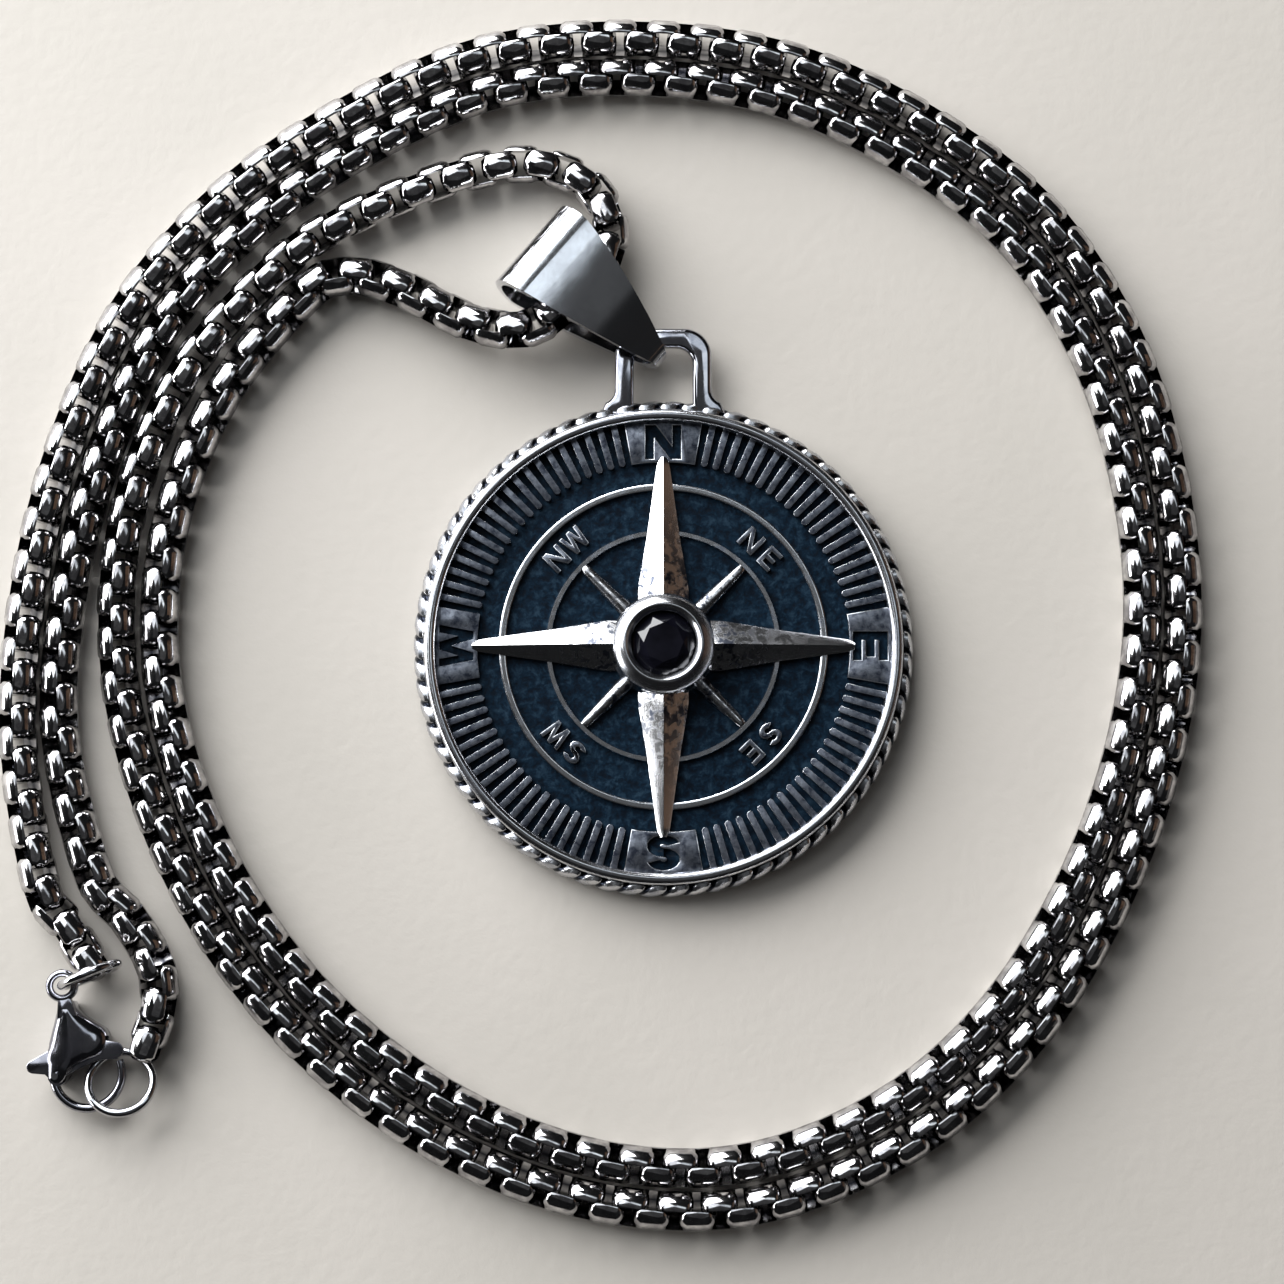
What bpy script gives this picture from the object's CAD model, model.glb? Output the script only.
# %% [markdown]
# # A compass pendant on a doubled box chain
# The real thing is a cast medallion, about the size of a large coin, on a 70 cm necklace chain.
# It lies flat on its back. The chain is doubled and coiled round the medallion and passes through
# a folded bail, and its two ends meet at a small lobster clasp.
# The solids that fix every size are loaded first. Each piece made here takes the place of one of
# them, so this script adds looks and never moves anything.

import bisect
import math

import bmesh
import bpy
from mathutils import Matrix, Vector


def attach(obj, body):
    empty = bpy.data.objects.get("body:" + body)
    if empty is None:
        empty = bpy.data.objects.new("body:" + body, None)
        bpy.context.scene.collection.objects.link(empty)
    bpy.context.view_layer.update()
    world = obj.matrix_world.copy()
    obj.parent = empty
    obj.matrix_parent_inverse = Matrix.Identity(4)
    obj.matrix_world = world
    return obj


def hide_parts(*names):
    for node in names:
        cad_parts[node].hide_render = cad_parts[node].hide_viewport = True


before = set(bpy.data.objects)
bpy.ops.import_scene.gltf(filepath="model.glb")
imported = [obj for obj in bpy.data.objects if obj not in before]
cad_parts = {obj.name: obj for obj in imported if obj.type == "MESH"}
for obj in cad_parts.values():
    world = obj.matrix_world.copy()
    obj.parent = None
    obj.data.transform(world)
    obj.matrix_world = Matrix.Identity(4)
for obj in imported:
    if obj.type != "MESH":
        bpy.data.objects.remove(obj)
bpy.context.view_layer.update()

# %% [markdown]
# ## Camera
# The photograph looks almost straight down, from a hand's height, tilted a little towards the
# eye of the pendant. Perspective matters on a small thing: a long lens from 25 cm keeps the coil
# round and still shows the near sides of the raised parts. The camera is placed by one distance
# and one tilt, so that both can be read and changed, and its lens by a focal length in pixels of
# the picture's frame.

# %% Camera
MM = 0.001
CAMERA_DISTANCE = 0.250
CAMERA_TILT = math.radians(7.5)
AIM = Vector((-0.00162, 0.00054, 0.0))
FOCAL_PIXELS = 3277
FRAME_PIXELS = 1284
SENSOR = 36.0

camera_data = bpy.data.cameras.new("camera_above")
camera_data.sensor_fit = "HORIZONTAL"
camera_data.sensor_width = SENSOR
camera_data.lens = SENSOR * FOCAL_PIXELS / FRAME_PIXELS
camera_data.clip_start = 0.01
camera = bpy.data.objects.new("camera_above", camera_data)
back = Vector((0, -math.sin(CAMERA_TILT), math.cos(CAMERA_TILT)))
camera.location = AIM + CAMERA_DISTANCE * back
camera.rotation_euler = (CAMERA_TILT, 0, 0)
bpy.context.scene.collection.objects.link(camera)
bpy.context.scene.camera = camera
print("camera at", tuple(round(c, 4) for c in camera.location), "lens", round(camera_data.lens, 1), "mm")

# %% [markdown]
# ## Light
# Polished metal shows its surroundings more than itself, so the surroundings are planned like a
# small room. The window stands low at the upper left and gives each curved face one clear white
# highlight, and a long low panel on the left does so for the chain's outer pads. A dim ceiling keeps
# level faces grey, with two smaller panels up there for the star and for the bail's pale band. Two
# weak lights on the right, one of them warm, tint the faces turned to them. The rest is nearly
# black, which keeps the hollows dark.

# %% Lights and surroundings
def area_light(name, place, width, height, watts, colour, level_turn=None):
    """A soft rectangular light at place, facing the medallion, or level and turned like a ceiling."""
    data = bpy.data.lights.new(name, "AREA")
    data.shape = "RECTANGLE"
    data.size = width
    data.size_y = height
    data.energy = watts
    data.color = colour
    lamp = bpy.data.objects.new(name, data)
    lamp.location = place
    lamp.rotation_euler = (-Vector(place)).to_track_quat("-Z", "Y").to_euler()
    if level_turn is not None:
        lamp.rotation_euler = (0, 0, math.radians(level_turn))
    bpy.context.scene.collection.objects.link(lamp)


area_light("window", (-0.395, 0.448, 0.29), 0.95, 0.50, 21.0, (0.97, 0.985, 1.0))
area_light("low_west", (-0.70, -0.05, 0.11), 0.50, 0.19, 3.3, (0.97, 0.985, 1.0))
area_light("sky_panel", (-0.20, 0.24, 0.55), 0.34, 0.30, 0.75, (0.90, 0.95, 1.0))
area_light("ceiling", (0.10, -0.065, 0.60), 0.60, 0.70, 0.075, (0.95, 0.97, 1.0), level_turn=-33)
area_light("high_panel", (0.152, 0.161, 0.59), 0.32, 0.12, 0.15, (0.85, 0.93, 1.0), level_turn=-33)
area_light("warm_fill", (0.52, 0.08, 0.22), 0.40, 0.30, 0.04, (1.0, 0.60, 0.38))
area_light("low_east", (0.70, -0.05, 0.10), 0.60, 0.19, 0.035, (1.0, 0.95, 0.9))

world = bpy.data.worlds.new("studio")
bpy.context.scene.world = world
world.use_nodes = True
surround = world.node_tree.nodes["Background"]
surround.inputs["Color"].default_value = (0.92, 0.95, 1.0, 1)
surround.inputs["Strength"].default_value = 0.014
bpy.context.scene.view_settings.view_transform = "Standard"

# %% [markdown]
# ## Helpers for finishes
# Every finish below is a small tree of nodes round one Principled shader, and the trees share a few
# parts: noise, a colour ramp, a change of range, a mix of two colours and a fine bump. Each part is
# a short function here, so that a finish can be read like a recipe. The noise reads a piece's own
# coordinates, in metres, so a stain stays on its piece when the piece moves.

# %% Helpers for finishes
def new_material(name):
    """A node material with its tree, its Principled shader and a short way to add a node."""
    material = bpy.data.materials.new(name)
    material.use_nodes = True
    tree = material.node_tree
    shader = tree.nodes["Principled BSDF"]

    def node(kind, **settings):
        made = tree.nodes.new(kind)
        for key, value in settings.items():
            setattr(made, key, value)
        return made

    return material, tree, shader, node


def noise_value(tree, node, vector, scale, detail, roughness=0.55, distortion=0.0):
    """Noise on the piece's own coordinates, in metres."""
    made = node("ShaderNodeTexNoise")
    made.inputs["Scale"].default_value = scale
    made.inputs["Detail"].default_value = detail
    made.inputs["Roughness"].default_value = roughness
    made.inputs["Distortion"].default_value = distortion
    tree.links.new(vector, made.inputs["Vector"])
    return made.outputs["Fac"]


def ramp(tree, node, value, stops):
    """Colour ramp from (position, colour) pairs."""
    made = node("ShaderNodeValToRGB")
    while len(made.color_ramp.elements) < len(stops):
        made.color_ramp.elements.new(0.5)
    for element, (position, colour) in zip(made.color_ramp.elements, stops):
        element.position = position
        element.color = (*colour, 1)
    tree.links.new(value, made.inputs["Fac"])
    return made.outputs["Color"]


def remap(tree, node, value, low, high, to_low=0.0, to_high=1.0):
    """Linear change of range, held at its ends."""
    made = node("ShaderNodeMapRange")
    made.inputs["From Min"].default_value = low
    made.inputs["From Max"].default_value = high
    made.inputs["To Min"].default_value = to_low
    made.inputs["To Max"].default_value = to_high
    tree.links.new(value, made.inputs["Value"])
    return made.outputs["Result"]


def mix_colour(tree, node, factor, first, second):
    """Mixes two colours, given as values or as sockets, by a factor's socket."""
    made = node("ShaderNodeMix", data_type="RGBA")
    for socket, value in ((made.inputs[0], factor), (made.inputs[6], first), (made.inputs[7], second)):
        if isinstance(value, bpy.types.NodeSocket):
            tree.links.new(value, socket)
        else:
            socket.default_value = (*value, 1)
    return made.outputs[2]


def bump(tree, node, shader, height, strength, distance):
    """Fine relief on the shader's normal."""
    made = node("ShaderNodeBump")
    made.inputs["Strength"].default_value = strength
    made.inputs["Distance"].default_value = distance
    tree.links.new(height, made.inputs["Height"])
    tree.links.new(made.outputs["Normal"], shader.inputs["Normal"])


# %% [markdown]
# ## Floor
# A plain pale surface. It is a large flat square at height zero, with a very weak mottle, so that
# the shadows of the chain have something quiet to fall on. It is stage, not part of the necklace.

# %% Floor
FLOOR_SIZE = 3.0


def floor_material():
    """Matt plaster: two pale tints and a fine grain."""
    material, tree, shader, node = new_material("pale_floor")
    place = node("ShaderNodeTexCoord").outputs["Object"]
    soft = noise_value(tree, node, place, 26.0, 3.0)
    fine = noise_value(tree, node, place, 900.0, 3.0)
    tint = ramp(tree, node, soft, [(0.3, (0.37, 0.345, 0.31)), (0.7, (0.41, 0.38, 0.345))])
    tree.links.new(tint, shader.inputs["Base Color"])
    shader.inputs["Roughness"].default_value = 0.6
    bump(tree, node, shader, fine, 0.25, 0.0001)
    return material


bpy.ops.mesh.primitive_plane_add(size=FLOOR_SIZE, location=(0, 0, 0))
floor = bpy.context.object
floor.name = "floor"
floor.data.materials.append(floor_material())
print("floor of", FLOOR_SIZE, "m")

# %% [markdown]
# ## Metals
# The whole necklace is one kind of steel, worn in different ways. Raised edges are rubbed bright,
# while hollows keep a dark blue-grey oxide. Such a metal is described by its bright and dark tints
# and by how rough each of them is, and a slow noise mixes the two. On the star, nearness to the
# stone adds to the noise, because the rays are highest there and are rubbed most. On the chain and
# the rope, a value painted on the points darkens what lies between the links or the strands.

# %% Worn steel
SEAM_DIRT = (0.012, 0.014, 0.020)


def worn_steel(name, bright, dark, rough, scale, share=(0.40, 0.66), painted=False, near=None, scratch=0.05):
    """Steel with bright and dark tints mixed by noise, by painted wear or by nearness to the middle."""
    material, tree, shader, node = new_material(name)
    place = node("ShaderNodeTexCoord").outputs["Object"]
    blotch = noise_value(tree, node, place, scale, 5.0, 0.6, 0.3)
    worn = remap(tree, node, blotch, share[0], share[1])
    if near:
        distance = node("ShaderNodeVectorMath", operation="LENGTH")
        tree.links.new(place, distance.inputs[0])
        clear = remap(tree, node, distance.outputs["Value"], near[0], near[1])
        either = node("ShaderNodeMath", operation="MAXIMUM")
        tree.links.new(worn, either.inputs[0])
        tree.links.new(clear, either.inputs[1])
        worn = either.outputs[0]
    colour = mix_colour(tree, node, worn, dark, bright)
    if painted:
        paint = node("ShaderNodeAttribute", attribute_name="polish").outputs["Fac"]
        colour = mix_colour(tree, node, paint, SEAM_DIRT, colour)
    tree.links.new(colour, shader.inputs["Base Color"])
    tree.links.new(remap(tree, node, worn, 0.0, 1.0, rough[1], rough[0]), shader.inputs["Roughness"])
    shader.inputs["Metallic"].default_value = 1.0
    fine = noise_value(tree, node, place, scale * 5.0, 3.0)
    bump(tree, node, shader, fine, scratch, 0.00003)
    return material


# %% [markdown]
# ## One steel in eleven states
# Each line is one state of the steel: bright tint, dark tint, the roughness of both, how fine the
# blotches are, and which share of the noise counts as worn. The chain, the rings and the bail are
# the most polished, the relief on the dial the least, and the worn edge is for the narrow bevels
# round the relief, where a thumb takes the oxide off.

# %% Steel finishes
CHAIN_STEEL = worn_steel("chain_steel", (0.72, 0.71, 0.71), (0.34, 0.33, 0.34), (0.06, 0.14), 900.0,
                         painted=True)
ROPE_STEEL = worn_steel("rope_steel", (0.66, 0.66, 0.67), (0.40, 0.41, 0.44), (0.20, 0.30), 600.0,
                        painted=True)
EYE_STEEL = worn_steel("eye_steel", (0.52, 0.52, 0.55), (0.30, 0.31, 0.35), (0.06, 0.12), 500.0)
BAIL_STEEL = worn_steel("bail_steel", (0.80, 0.82, 0.85), (0.66, 0.67, 0.70), (0.07, 0.13), 300.0)
CLASP_STEEL = worn_steel("clasp_steel", (0.40, 0.40, 0.43), (0.22, 0.22, 0.25), (0.08, 0.16), 500.0)
RING_STEEL = worn_steel("ring_steel", (0.66, 0.66, 0.67), (0.42, 0.42, 0.44), (0.06, 0.14), 600.0)
RIM_STEEL = worn_steel("rim_steel", (0.66, 0.66, 0.67), (0.42, 0.43, 0.46), (0.12, 0.24), 420.0)
LINE_STEEL = worn_steel("line_steel", (0.72, 0.73, 0.75), (0.20, 0.22, 0.26), (0.16, 0.30), 900.0,
                        (0.34, 0.52))
RELIEF_STEEL = worn_steel("relief_steel", (0.25, 0.27, 0.31), (0.03, 0.035, 0.05), (0.26, 0.40), 1500.0,
                          (0.36, 0.72), scratch=0.25)
WORN_EDGE = worn_steel("worn_edge", (0.78, 0.79, 0.81), (0.16, 0.17, 0.21), (0.18, 0.32), 1100.0,
                        (0.32, 0.52))
STAR_STEEL = worn_steel("star_steel", (0.68, 0.68, 0.69), (0.045, 0.05, 0.065), (0.15, 0.34), 1500.0,
                        (0.42, 0.56), near=(0.006, 0.0125))
print(len(bpy.data.materials), "materials so far")

# %% [markdown]
# ## Oxide and stone
# The dial's floor was blackened on purpose, so that the relief stands out. The oxide is no longer
# metal to the eye: it is a dull, mottled blue-black with hardly any shine. The stone is the other
# way round, a plain black body under a very clean gloss, because its facets are made by the mesh.

# %% Oxide and stone
def dial_material():
    """Dark, mottled oxide between the raised marks, with a weak shine."""
    material, tree, shader, node = new_material("oxidised_dial")
    place = node("ShaderNodeTexCoord").outputs["Object"]
    blotch = noise_value(tree, node, place, 1300.0, 6.0, 0.7, 0.3)
    colour = ramp(tree, node, blotch, [(0.40, (0.0006, 0.0028, 0.0065)), (0.52, (0.0014, 0.0075, 0.016)),
                                       (0.66, (0.010, 0.023, 0.038))])
    tree.links.new(colour, shader.inputs["Base Color"])
    shader.inputs["Metallic"].default_value = 0.0
    shader.inputs["Specular IOR Level"].default_value = 0.06
    shader.inputs["Roughness"].default_value = 0.5
    fine = noise_value(tree, node, place, 2600.0, 4.0)
    bump(tree, node, shader, fine, 0.5, 0.00008)
    return material


def stone_material():
    """Black polished stone: a dark body under a clear gloss."""
    material, tree, shader, node = new_material("black_stone")
    place = node("ShaderNodeTexCoord").outputs["Object"]
    cloud = noise_value(tree, node, place, 500.0, 2.0)
    colour = ramp(tree, node, cloud, [(0.35, (0.001, 0.001, 0.002)), (0.7, (0.004, 0.004, 0.007))])
    tree.links.new(colour, shader.inputs["Base Color"])
    shader.inputs["Roughness"].default_value = 0.04
    shader.inputs["IOR"].default_value = 1.5
    return material


DIAL_OXIDE = dial_material()
STONE_BLACK = stone_material()
print(len(bpy.data.materials), "materials with these two")

# %% [markdown]
# ## How a piece is finished
# Every piece below is shaped in millimetres, because that is how a jeweller would say its sizes,
# and is turned into metres once, when it is finished. Finishing also merges doubles, points the
# faces outwards, shades smooth up to a sharp angle and ties the piece to the body that carries it.
# A second finish can be given to the sloping faces, which are the worn edges of a relief, and the
# dial's oxide to the faces that lie low.

# %% Finishing a piece
MERGE = 0.0005
# A face counts as a worn edge where the upward part of its direction lies between these
SLOPE_LOW, SLOPE_HIGH = 0.05, 0.985


def finish_piece(bm, name, material, slot, replaces, body="necklace", sharp=35.0, edge_material=None,
                 floor_under=0.0):
    """Turns a shape in millimetres into a finished object that rides on a body."""
    bmesh.ops.remove_doubles(bm, verts=bm.verts, dist=MERGE)
    bmesh.ops.recalc_face_normals(bm, faces=bm.faces)
    used = [material] + ([edge_material] if edge_material else []) + ([DIAL_OXIDE] if floor_under else [])
    for face in bm.faces:
        if edge_material and SLOPE_LOW < face.normal.z < SLOPE_HIGH:
            face.material_index = 1
        elif floor_under and face.calc_center_median().z < floor_under:
            face.material_index = len(used) - 1
    bmesh.ops.scale(bm, vec=(MM, MM, MM), verts=bm.verts)
    mesh = bpy.data.meshes.new(name)
    bm.to_mesh(mesh)
    bm.free()
    mesh.polygons.foreach_set("use_smooth", [True] * len(mesh.polygons))
    mesh.set_sharp_from_angle(angle=math.radians(sharp))
    for each in used:
        mesh.materials.append(each)
    piece = bpy.data.objects.new(name, mesh)
    bpy.context.scene.collection.objects.link(piece)
    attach(piece, body)
    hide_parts(*replaces)
    print(name, len(mesh.polygons), "faces")


def medallion_piece(bm, name, material, **more):
    """A piece of the cast medallion, whose solid it replaces."""
    finish_piece(bm, name, material, "medallion_steel", replaces=["medallion"], **more)


# %% [markdown]
# ## Turning and raising
# Three ways of shaping cover nearly all pieces, and these are the first two. A profile is turned
# round the middle, as on a lathe. A flat outline is raised into a plate and its edges are rounded,
# as in a punched part.

# %% Turned and raised shapes
def turned(profile, steps, closed=False):
    """Turns (radius, height) points round the Z axis."""
    bm = bmesh.new()
    points = [bm.verts.new((r, 0, z)) for r, z in profile]
    pairs = list(zip(points, points[1:])) + ([(points[-1], points[0])] if closed else [])
    edges = [bm.edges.new(pair) for pair in pairs]
    bmesh.ops.spin(bm, geom=points + edges, cent=(0, 0, 0), axis=(0, 0, 1), angle=2 * math.pi,
                   steps=steps, use_merge=True)
    return bm


def arc_points(cx, cy, r, start, stop, count):
    """Points of an arc, angles in degrees."""
    steps = [math.radians(start + (stop - start) * i / count) for i in range(count + 1)]
    return [(cx + r * math.cos(a), cy + r * math.sin(a)) for a in steps]


def plate(outline, low, high, edge=0.0, segments=2, both=False):
    """Raises an outline from height low to high and may round its upper edges, or both."""
    bm = bmesh.new()
    face = bm.faces.new([bm.verts.new((x, y, low)) for x, y in outline])
    raised = bmesh.ops.extrude_face_region(bm, geom=[face])
    verts = [g for g in raised["geom"] if isinstance(g, bmesh.types.BMVert)]
    bmesh.ops.translate(bm, vec=(0, 0, high - low), verts=verts)
    bmesh.ops.recalc_face_normals(bm, faces=bm.faces)
    if not edge:
        return bm
    top = [e for e in bm.edges if all(v.co.z > high - 1e-6 for v in e.verts)]
    bottom = [e for e in bm.edges if all(v.co.z < low + 1e-6 for v in e.verts)]
    bmesh.ops.bevel(bm, geom=top + (bottom if both else []), offset=edge, offset_type="OFFSET",
                    segments=segments, profile=0.5, affect="EDGES", material=-1, clamp_overlap=True)
    return bm


# %% [markdown]
# ## Wrapping a grid
# The third way is for forms that are neither round nor flat: a grid is wrapped over the form. Each
# of its points is moved to the place that a short function gives for its two coordinates, and the
# seams where the grid meets itself are merged. A second function can paint a value on the points.

# %% Wrapped grids
def wrapped_grid(across, along, place, closed=False, paint=None):
    """A grid whose point at (u, v), each from 0 to 1, goes to place(u, v) and is painted paint(u, v)."""
    bm = bmesh.new()
    bmesh.ops.create_grid(bm, x_segments=across, y_segments=along, size=0.5)
    polish = bm.verts.layers.float.new("polish") if paint else None
    for vert in bm.verts:
        u, v = vert.co.x + 0.5, vert.co.y + 0.5
        vert.co = Vector(place(u, v))
        if paint:
            vert[polish] = paint(u, v)
    if closed:
        bmesh.ops.remove_doubles(bm, verts=bm.verts, dist=MERGE)
    return bm


def row(table, share):
    """The row of a table at a share of its length, from 0 to 1."""
    return table[round(share * (len(table) - 1))]


# %% [markdown]
# ## Small helpers
# Most pieces repeat a shape round the dial or along the chain, and a few need a box to cut with, a
# rim closed by a face, or a value read from a short table. Copies go through a mesh, because a mesh
# can be moved by a matrix and added to a shape in one step each.

# %% Small helpers
def add_copy(target, source, matrix=Matrix.Identity(4), keep=False):
    """Adds a copy of one shape to another, moved by a matrix, and frees the first unless it is kept."""
    holder = bpy.data.meshes.new("holder")
    source.to_mesh(holder)
    holder.transform(matrix)
    target.from_mesh(holder)
    bpy.data.meshes.remove(holder)
    if not keep:
        source.free()


def add_round(target, source, count, first=0.0):
    """Adds copies of a shape, clockwise in equal steps round the middle from a first angle."""
    for i in range(count):
        turn = Matrix.Rotation(math.radians(first - 360 * i / count), 4, "Z")
        add_copy(target, source, turn, keep=True)
    source.free()


def small_box(low, high):
    """A closed box between two corners."""
    bm = bmesh.new()
    bmesh.ops.create_cube(bm, size=1.0)
    low, high = Vector(low), Vector(high)
    bmesh.ops.scale(bm, vec=high - low, verts=bm.verts)
    bmesh.ops.translate(bm, vec=(low + high) / 2, verts=bm.verts)
    return bm


def close_holes(bm):
    """Fills each open rim with one face."""
    rims = [e for e in bm.edges if e.is_boundary]
    bmesh.ops.holes_fill(bm, edges=rims, sides=0)


def between(table, x):
    """Straight-line reading of a table of (x, value) rows."""
    for (x0, y0), (x1, y1) in zip(table, table[1:]):
        if x <= x1:
            return y0 + (y1 - y0) * (x - x0) / (x1 - x0)
    return table[-1][1]


# %% [markdown]
# ## The medallion's disc and edge
# The disc is a plain turned plate, flat behind. Round it runs a twisted rope, and inside the rope a
# polished ring hides where the rope was soldered or cast on. Turning a profile gives the disc and
# the ring exactly, because both are round wherever they are cut.

# %% Disc, dial floor and rim ring
DIAL_Z = 1.5
FOOT_Z = DIAL_Z - 0.1
RIM_IN = 17.2
RIM_OUT = 18.15
RIM_TOP = 2.9

disc_profile = [(0, 0), (17.0, 0), (17.5, 0.12), (17.6, 0.4), (17.6, DIAL_Z), (17.3, DIAL_Z), (0, DIAL_Z)]
medallion_piece(turned(disc_profile, 160), "dial_disc", DIAL_OXIDE)

rim_half = (RIM_OUT - RIM_IN) / 2
rim_profile = [(RIM_IN, DIAL_Z - 0.2), (RIM_IN, RIM_TOP - rim_half)]
rim_profile += arc_points(RIM_IN + rim_half, RIM_TOP - rim_half, rim_half, 168, 12, 8)
rim_profile += [(RIM_OUT, RIM_TOP - rim_half), (RIM_OUT, DIAL_Z - 0.2)]
medallion_piece(turned(rim_profile, 192, closed=True), "rim_ring", RIM_STEEL)

# %% [markdown]
# ## The twisted rope
# Each strand of a twisted rope comes up, passes over the outside and goes under again, so what
# shows of it is one leaning bead. A row of round balls would look like pearls. One bead is made as
# slices that run along the seams between the strands, painted dark at both ends, and repeated
# round the disc over a dark core.

# %% Twisted rope
STRANDS = 70
CORE_RADIUS, CORE_WIRE, ROPE_Z = 17.9, 0.77, 1.35
BEAD_HALF = (0.54, 1.35, 0.74)
BEAD_SLANT = math.radians(35)
BEAD_SWING = math.radians(8)
BEAD_RADIUS = 18.41
# Sections of a bead: place along it as a share of the way to the seam, and how polished
BEAD_ALONG = [(-1.08, 0.0), (-0.78, 0.0), (-0.64, 1.0), (-0.45, 1.0), (-0.2, 1.0), (0.2, 1.0), (0.45, 1.0),
              (0.64, 1.0), (0.78, 0.0), (1.08, 0.0)]


def rope_bead():
    """One strand's bulge: a leaning egg, cut into slices that run along its seams, which are dark."""
    shape = (Matrix.Rotation(BEAD_SWING, 3, "Z") @ Matrix.Rotation(BEAD_SLANT, 3, "X")
             @ Matrix.Diagonal(BEAD_HALF))
    across = shape.inverted() @ Vector((0, 1, 0))
    seam = math.pi * BEAD_RADIUS / STRANDS * across.length
    slices = across.to_track_quat("Y", "Z").to_matrix()

    def place(u, v):
        along = row(BEAD_ALONG, v)[0] * seam
        swell = math.sqrt(1 - along ** 2)
        turn = 2 * math.pi * u
        return shape @ slices @ Vector((swell * math.cos(turn), along, swell * math.sin(turn)))

    bm = wrapped_grid(12, len(BEAD_ALONG) - 1, place, closed=True, paint=lambda u, v: row(BEAD_ALONG, v)[1])
    close_holes(bm)
    print("seam at", round(seam, 2), "of the bead's half length")
    bmesh.ops.translate(bm, vec=(BEAD_RADIUS, 0, ROPE_Z), verts=bm.verts)
    return bm


rope = bmesh.new()
rope.verts.layers.float.new("polish")
add_round(rope, rope_bead(), STRANDS)
add_copy(rope, turned(arc_points(CORE_RADIUS, ROPE_Z, CORE_WIRE, 0, 337.5, 15), 96, closed=True))
medallion_piece(rope, "rope_edge", ROPE_STEEL)

# %% [markdown]
# ## Letters
# The dial's letters are N, E, S and W, sunk in the panels and raised between the circles. A font
# would bring its own look, so each letter is built from straight bars and arcs of one thickness, as
# an engraver cuts it.

# %% Letters
def bar(p, q, width):
    """Outline of a straight bar between two points."""
    p, q = Vector(p), Vector(q)
    side = Vector((-(q - p).y, (q - p).x)).normalized() * width / 2
    return [tuple(p - side), tuple(q - side), tuple(q + side), tuple(p + side)]


def letter_outlines(letter, w, h, t):
    """Outlines whose union is a capital letter about the origin."""
    x, y = w / 2, h / 2
    if letter == "N":
        return [bar((-x + t / 2, -y), (-x + t / 2, y), t), bar((x - t / 2, -y), (x - t / 2, y), t),
                [(-x, y), (x - 1.25 * t, -y), (x, -y), (-x + 1.25 * t, y)]]
    if letter == "E":
        x *= 0.8
        return [bar((-x + t / 2, -y), (-x + t / 2, y), t), bar((-x, y - t / 2), (x, y - t / 2), t),
                bar((-x, -y + t / 2), (x, -y + t / 2), t), bar((-x, 0), (x * 0.75, 0), t)]
    if letter == "W":
        # Four slanted bars with level ends, so each outline is a parallelogram
        x *= 1.2
        feet = [(-x + t / 2, y), (-x / 2, -y), (0, y), (x / 2, -y), (x - t / 2, y)]
        slant = t * 0.95
        return [[(a[0] - slant / 2, a[1]), (b[0] - slant / 2, b[1]), (b[0] + slant / 2, b[1]),
                 (a[0] + slant / 2, a[1])] for a, b in zip(feet, feet[1:])]
    # S: an arc for the upper half, and the same arc turned by half a turn for the lower
    radius = (h + t) / 4
    squeeze = 0.9 * w / (2 * radius)
    outer = arc_points(0, radius - t / 2, radius, 20, 270, 12)
    inner = arc_points(0, radius - t / 2, radius - t, 270, 20, 12)
    upper = [(px * squeeze, py) for px, py in outer + inner]
    return [upper, [(-px, -py) for px, py in upper]]


print("outlines to a letter:", {letter: len(letter_outlines(letter, 1, 1, 0.2)) for letter in "NESW"})

# %% [markdown]
# ## Joining and cutting
# A letter is the union of its bars, and a sunk letter is cut out of its panel. Booleans work on
# objects, so shapes become short-lived objects, and the result comes back as a clean shape. Its
# upper edges are rounded last, since the joints between the bars are gone by then.

# %% Joining and cutting
def solid_from(bm, name):
    """A temporary object for a boolean."""
    mesh = bpy.data.meshes.new(name)
    bm.to_mesh(mesh)
    bm.free()
    made = bpy.data.objects.new(name, mesh)
    bpy.context.scene.collection.objects.link(made)
    return made


def combined(base, tools, operation):
    """Applies booleans to a base solid and returns the result as a clean shape."""
    for tool in tools:
        step = base.modifiers.new("step", "BOOLEAN")
        step.operation = operation
        step.solver = "EXACT"
        step.object = tool
    graph = bpy.context.evaluated_depsgraph_get()
    result = bpy.data.meshes.new_from_object(base.evaluated_get(graph))
    bm = bmesh.new()
    bm.from_mesh(result)
    bpy.data.meshes.remove(result)
    for made in [base] + tools:
        old = made.data
        bpy.data.objects.remove(made)
        bpy.data.meshes.remove(old)
    bmesh.ops.remove_doubles(bm, verts=bm.verts, dist=0.002)
    bmesh.ops.dissolve_limit(bm, angle_limit=math.radians(2), verts=bm.verts, edges=bm.edges)
    return bm


def raised_letter(letter, w, h, t, low, high, edge):
    """One solid letter standing up from the floor, with rounded upper edges."""
    bars = [solid_from(plate(outline, low, high), "bar") for outline in letter_outlines(letter, w, h, t)]
    bm = combined(bars[0], bars[1:], "UNION")
    round_top(bm, high, edge)
    return bm


def round_top(bm, high, edge):
    """Rounds the sharp edges that lie at the top height."""
    rim = [e for e in bm.edges if all(abs(v.co.z - high) < 1e-4 for v in e.verts)
           and len(e.link_faces) == 2 and e.calc_face_angle(0) > 0.6]
    bmesh.ops.bevel(bm, geom=rim, offset=edge, offset_type="OFFSET", segments=2, profile=0.5,
                    affect="EDGES", material=-1, clamp_overlap=True)


# %% [markdown]
# ## Ticks
# The ring of ticks is low relief, as on a coin. Relief has soft edges, and those edges are what
# catches the light, so a tick is a plate with a round inner end and rounded upper edges. It
# reaches a little under the rim ring and into the floor, so no gap shows.

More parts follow.
